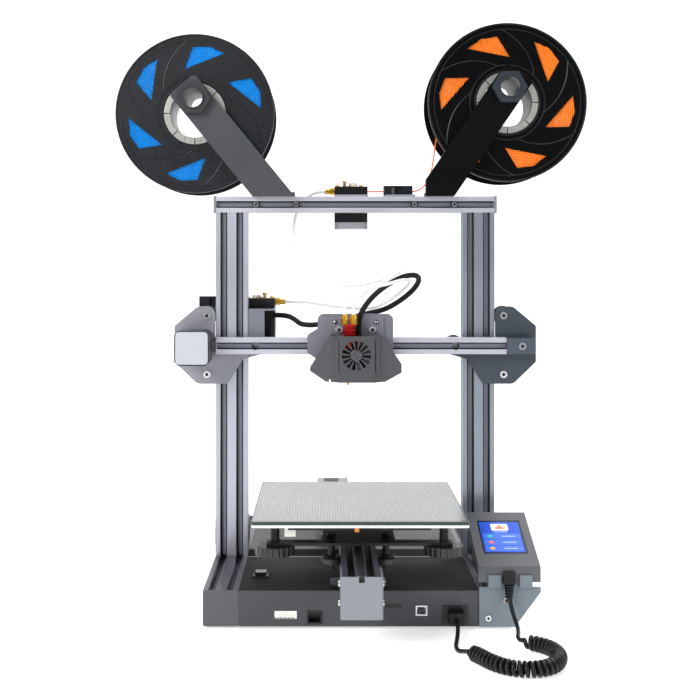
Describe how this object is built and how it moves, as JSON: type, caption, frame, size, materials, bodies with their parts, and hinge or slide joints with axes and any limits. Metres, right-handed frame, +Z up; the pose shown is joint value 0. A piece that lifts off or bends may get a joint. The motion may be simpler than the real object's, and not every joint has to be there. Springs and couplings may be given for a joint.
{
  "type": "desktop filament printer",
  "caption": "Desktop filament printer: extruded metal frame, moving bed, lifting gantry with carriage, feeders, filament spools on leaning arms and a slanted screen.",
  "frame": {"origin": "on the surface the feet stand on, under the middle of the frame: midway between the base rails and midway along the bed beam and base", "axes": "+X to the right seen from the front, +Y from the front to the back, +Z up"},
  "size_m": [0.5931, 0.5678, 0.7125],
  "materials": {
    "base_extrusion": "satin dark grey anodised, black plastic end caps",
    "base_sheet": "satin dark grey powder coat",
    "floor_sheet": "satin, rubber feet",
    "board_green": "green circuit board, bright folded supply case",
    "socket_metal": "bright sockets",
    "upright_metal": "satin grey anodised",
    "beam_metal": "satin grey anodised",
    "motor_black": "satin black with bright end caps",
    "bracket_grey": "satin grey",
    "plate_grey": "satin grey powder coat",
    "arm_dark": "matte dark grey",
    "tube_black": "satin black",
    "spool_black": "glossy black flanges",
    "feeder_black": "satin black with brass fitting",
    "sensor_black": "satin black",
    "lever_black": "satin black",
    "filament_plastic": "glossy",
    "screen_case": "satin black with blue display",
    "screen_mount": "satin grey",
    "cord_black": "satin black",
    "plug_black": "satin black",
    "belt_black": "matte black",
    "tube_ptfe": "translucent white",
    "loom_sleeve": "woven black",
    "hotend_metal": "red anodised heat sink, bright heater block, brass nozzle",
    "shroud_grey": "satin dark grey",
    "fan_black": "satin black",
    "bed_surface": "matte coated glass with a fine light grid",
    "heater_metal": "heated plate with foil-faced insulation",
    "carriage_metal": "satin black",
    "wheel_black": "satin black with steel bearing",
    "knob_black": "satin black",
    "screw_steel": "bright lead screw with aluminium coupler",
    "pulley_metal": "satin",
    "button_black": "glossy black"
  },
  "bodies": {
    "frame": {"base_rails": "base_extrusion", "base_floor": "floor_sheet", "base_cover": "base_sheet", "front_sockets": "socket_metal", "base_electronics": "board_green", "bed_beam": "beam_metal", "uprights": "upright_metal", "top_bar": "upright_metal", "frame_motors": "motor_black", "belt_brackets": "bracket_grey", "bed_belt": "belt_black", "spool_arms": "arm_dark", "spool_tubes": "tube_black", "top_feeder": "feeder_black", "runout_sensor": "sensor_black", "filament_strand": "filament_plastic", "screen_housing": "screen_case", "screen_bracket": "screen_mount", "screen_coil": "cord_black", "screen_leads": "cord_black", "screen_plugs": "plug_black"},
    "gantry": {"gantry_beam": "beam_metal", "gantry_plates": "plate_grey", "gantry_motors": "motor_black", "left_feeder": "feeder_black", "carriage_belt": "belt_black", "feed_tubes": "tube_ptfe", "wiring_loom": "loom_sleeve"},
    "carriage": {"carriage_plate": "plate_grey", "hotend": "hotend_metal", "hotend_shroud": "shroud_grey"},
    "bed": {"bed_glass": "bed_surface", "heated_plate": "heater_metal", "bed_carriage": "carriage_metal"},
    "power_button": {"power_button": "button_black"},
    "bed_pulley": {"bed_pulley": "pulley_metal"},
    "lead_screw": {"lead_screw": "screw_steel"},
    "carriage_pulley": {"carriage_pulley": "pulley_metal"},
    "left_feeder_lever": {"left_feeder_lever": "lever_black"},
    "top_feeder_lever": {"top_feeder_lever": "lever_black"},
    "spool_left": {"spool_left": "spool_black"},
    "spool_right": {"spool_right": "spool_black"},
    "hotend_fan": {"hotend_fan": "fan_black"},
    "gantry_wheel_left_outer_top": {"gantry_wheel_left_outer_top": "wheel_black"},
    "gantry_wheel_left_outer_low": {"gantry_wheel_left_outer_low": "wheel_black"},
    "gantry_wheel_left_inner": {"gantry_wheel_left_inner": "wheel_black"},
    "gantry_wheel_right_outer_top": {"gantry_wheel_right_outer_top": "wheel_black"},
    "gantry_wheel_right_outer_low": {"gantry_wheel_right_outer_low": "wheel_black"},
    "gantry_wheel_right_inner": {"gantry_wheel_right_inner": "wheel_black"},
    "carriage_wheel_left": {"carriage_wheel_left": "wheel_black"},
    "carriage_wheel_right": {"carriage_wheel_right": "wheel_black"},
    "carriage_wheel_low": {"carriage_wheel_low": "wheel_black"},
    "bed_wheel_front_left": {"bed_wheel_front_left": "wheel_black"},
    "bed_wheel_front_right": {"bed_wheel_front_right": "wheel_black"},
    "bed_wheel_back_left": {"bed_wheel_back_left": "wheel_black"},
    "bed_wheel_back_right": {"bed_wheel_back_right": "wheel_black"},
    "knob_front_left": {"knob_front_left": "knob_black"},
    "knob_front_right": {"knob_front_right": "knob_black"},
    "knob_back_left": {"knob_back_left": "knob_black"},
    "knob_back_right": {"knob_back_right": "knob_black"}
  },
  "joints": [
    {"name": "gantry_lift", "type": "slide", "parent": "frame", "child": "gantry", "axis": [0, 0, 1], "range_m": [-0.129, 0.116], "deforming": ["feed_tubes"]},
    {"name": "carriage_slide", "type": "slide", "parent": "gantry", "child": "carriage", "axis": [1, 0, 0], "range_m": [-0.1075, 0.1275], "deforming": ["feed_tubes", "wiring_loom"]},
    {"name": "bed_slide", "type": "slide", "parent": "frame", "child": "bed", "axis": [0, 1, 0], "range_m": [-0.068, 0.166]},
    {"name": "screw_turn", "type": "hinge", "parent": "frame", "child": "lead_screw", "pos_m": [-0.157, 0.0645, 0.2], "axis": [0, 0, 1], "range_deg": [-6000, 6000]},
    {"name": "spool_left_spin", "type": "hinge", "parent": "frame", "child": "spool_left", "pos_m": [-0.20166, 0.0575, 0.5986], "axis": [0, 1, 0], "continuous": true},
    {"name": "spool_right_spin", "type": "hinge", "parent": "frame", "child": "spool_right", "pos_m": [0.19152, 0.0575, 0.6125], "axis": [0, 1, 0], "continuous": true},
    {"name": "top_lever_swing", "type": "hinge", "parent": "frame", "child": "top_feeder_lever", "pos_m": [-0.02, 0.09, 0.5035], "axis": [0, 0, 1], "range_deg": [0, 8], "stiffness_Nm_per_rad": 0.6, "springref_deg": -5.73},
    {"name": "left_lever_swing", "type": "hinge", "parent": "gantry", "child": "left_feeder_lever", "pos_m": [-0.108, 0.09, 0.36], "axis": [0, 0, -1], "range_deg": [0, 8], "stiffness_Nm_per_rad": 0.6, "springref_deg": -5.73},
    {"name": "button_press", "type": "slide", "parent": "frame", "child": "power_button", "axis": [0, 0, -1], "range_m": [0, 0.0015], "stiffness_N_per_m": 500, "springref_m": -0.0006},
    {"name": "fan_spin", "type": "hinge", "parent": "carriage", "child": "hotend_fan", "pos_m": [-0.0006, -0.0565, 0.3006], "axis": [0, 1, 0], "continuous": true},
    {"name": "bed_pulley_turn", "type": "hinge", "parent": "frame", "child": "bed_pulley", "pos_m": [0, 0.21165, 0.08235], "axis": [1, 0, 0], "range_deg": [-1550, 1550]},
    {"name": "carriage_pulley_turn", "type": "hinge", "parent": "gantry", "child": "carriage_pulley", "pos_m": [-0.1985, 0.009, 0.3077], "axis": [0, 1, 0], "range_deg": [-1200, 1200]},
    {"name": "gantry_wheel_left_outer_top_turn", "type": "hinge", "parent": "gantry", "child": "gantry_wheel_left_outer_top", "pos_m": [-0.1858, 0.0325, 0.3445], "axis": [0, 1, 0], "range_deg": [-700, 700]},
    {"name": "gantry_wheel_left_outer_low_turn", "type": "hinge", "parent": "gantry", "child": "gantry_wheel_left_outer_low", "pos_m": [-0.1858, 0.0325, 0.2709], "axis": [0, 1, 0], "range_deg": [-700, 700]},
    {"name": "gantry_wheel_left_inner_turn", "type": "hinge", "parent": "gantry", "child": "gantry_wheel_left_inner", "pos_m": [-0.1242, 0.0325, 0.3077], "axis": [0, 1, 0], "range_deg": [-700, 700]},
    {"name": "gantry_wheel_right_outer_top_turn", "type": "hinge", "parent": "gantry", "child": "gantry_wheel_right_outer_top", "pos_m": [0.1858, 0.0325, 0.3445], "axis": [0, 1, 0], "range_deg": [-700, 700]},
    {"name": "gantry_wheel_right_outer_low_turn", "type": "hinge", "parent": "gantry", "child": "gantry_wheel_right_outer_low", "pos_m": [0.1858, 0.0325, 0.2709], "axis": [0, 1, 0], "range_deg": [-700, 700]},
    {"name": "gantry_wheel_right_inner_turn", "type": "hinge", "parent": "gantry", "child": "gantry_wheel_right_inner", "pos_m": [0.1242, 0.0325, 0.3077], "axis": [0, 1, 0], "range_deg": [-700, 700]},
    {"name": "carriage_wheel_left_turn", "type": "hinge", "parent": "carriage", "child": "carriage_wheel_left", "pos_m": [-0.0205, 0.009, 0.3285], "axis": [0, 1, 0], "range_deg": [-700, 700]},
    {"name": "carriage_wheel_right_turn", "type": "hinge", "parent": "carriage", "child": "carriage_wheel_right", "pos_m": [0.0205, 0.009, 0.3285], "axis": [0, 1, 0], "range_deg": [-700, 700]},
    {"name": "carriage_wheel_low_turn", "type": "hinge", "parent": "carriage", "child": "carriage_wheel_low", "pos_m": [0, 0.009, 0.2869], "axis": [0, 1, 0], "range_deg": [-700, 700]},
    {"name": "bed_wheel_front_left_turn", "type": "hinge", "parent": "bed", "child": "bed_wheel_front_left", "pos_m": [-0.0308, -0.1335, 0.076], "axis": [0, 0, 1], "range_deg": [-900, 900]},
    {"name": "bed_wheel_front_right_turn", "type": "hinge", "parent": "bed", "child": "bed_wheel_front_right", "pos_m": [0.0308, -0.1335, 0.076], "axis": [0, 0, 1], "range_deg": [-900, 900]},
    {"name": "bed_wheel_back_left_turn", "type": "hinge", "parent": "bed", "child": "bed_wheel_back_left", "pos_m": [-0.0308, -0.0235, 0.076], "axis": [0, 0, 1], "range_deg": [-900, 900]},
    {"name": "bed_wheel_back_right_turn", "type": "hinge", "parent": "bed", "child": "bed_wheel_back_right", "pos_m": [0.0308, -0.0235, 0.076], "axis": [0, 0, 1], "range_deg": [-900, 900]},
    {"name": "knob_front_left_turn", "type": "hinge", "parent": "bed", "child": "knob_front_left", "pos_m": [-0.093, -0.1635, 0.0957], "axis": [0, 0, 1], "range_deg": [-180, 180]},
    {"name": "knob_front_right_turn", "type": "hinge", "parent": "bed", "child": "knob_front_right", "pos_m": [0.093, -0.1635, 0.0957], "axis": [0, 0, 1], "range_deg": [-180, 180]},
    {"name": "knob_back_left_turn", "type": "hinge", "parent": "bed", "child": "knob_back_left", "pos_m": [-0.093, 0.0065, 0.0957], "axis": [0, 0, 1], "range_deg": [-180, 180]},
    {"name": "knob_back_right_turn", "type": "hinge", "parent": "bed", "child": "knob_back_right", "pos_m": [0.093, 0.0065, 0.0957], "axis": [0, 0, 1], "range_deg": [-180, 180]}
  ],
  "couplings": [
    {"joint": "screw_turn", "follows": "gantry_lift", "rad_per_m": -785.4},
    {"joint": "bed_pulley_turn", "follows": "bed_slide", "rad_per_m": -157.48},
    {"joint": "carriage_pulley_turn", "follows": "carriage_slide", "rad_per_m": 157.48},
    {"joint": "gantry_wheel_left_outer_top_turn", "follows": "gantry_lift", "rad_per_m": 92.593},
    {"joint": "gantry_wheel_left_outer_low_turn", "follows": "gantry_lift", "rad_per_m": 92.593},
    {"joint": "gantry_wheel_left_inner_turn", "follows": "gantry_lift", "rad_per_m": -92.593},
    {"joint": "gantry_wheel_right_outer_top_turn", "follows": "gantry_lift", "rad_per_m": -92.593},
    {"joint": "gantry_wheel_right_outer_low_turn", "follows": "gantry_lift", "rad_per_m": -92.593},
    {"joint": "gantry_wheel_right_inner_turn", "follows": "gantry_lift", "rad_per_m": 92.593},
    {"joint": "carriage_wheel_left_turn", "follows": "carriage_slide", "rad_per_m": 92.593},
    {"joint": "carriage_wheel_right_turn", "follows": "carriage_slide", "rad_per_m": 92.593},
    {"joint": "carriage_wheel_low_turn", "follows": "carriage_slide", "rad_per_m": -92.593},
    {"joint": "bed_wheel_front_left_turn", "follows": "bed_slide", "rad_per_m": -92.593},
    {"joint": "bed_wheel_front_right_turn", "follows": "bed_slide", "rad_per_m": 92.593},
    {"joint": "bed_wheel_back_left_turn", "follows": "bed_slide", "rad_per_m": -92.593},
    {"joint": "bed_wheel_back_right_turn", "follows": "bed_slide", "rad_per_m": 92.593}
  ]
}
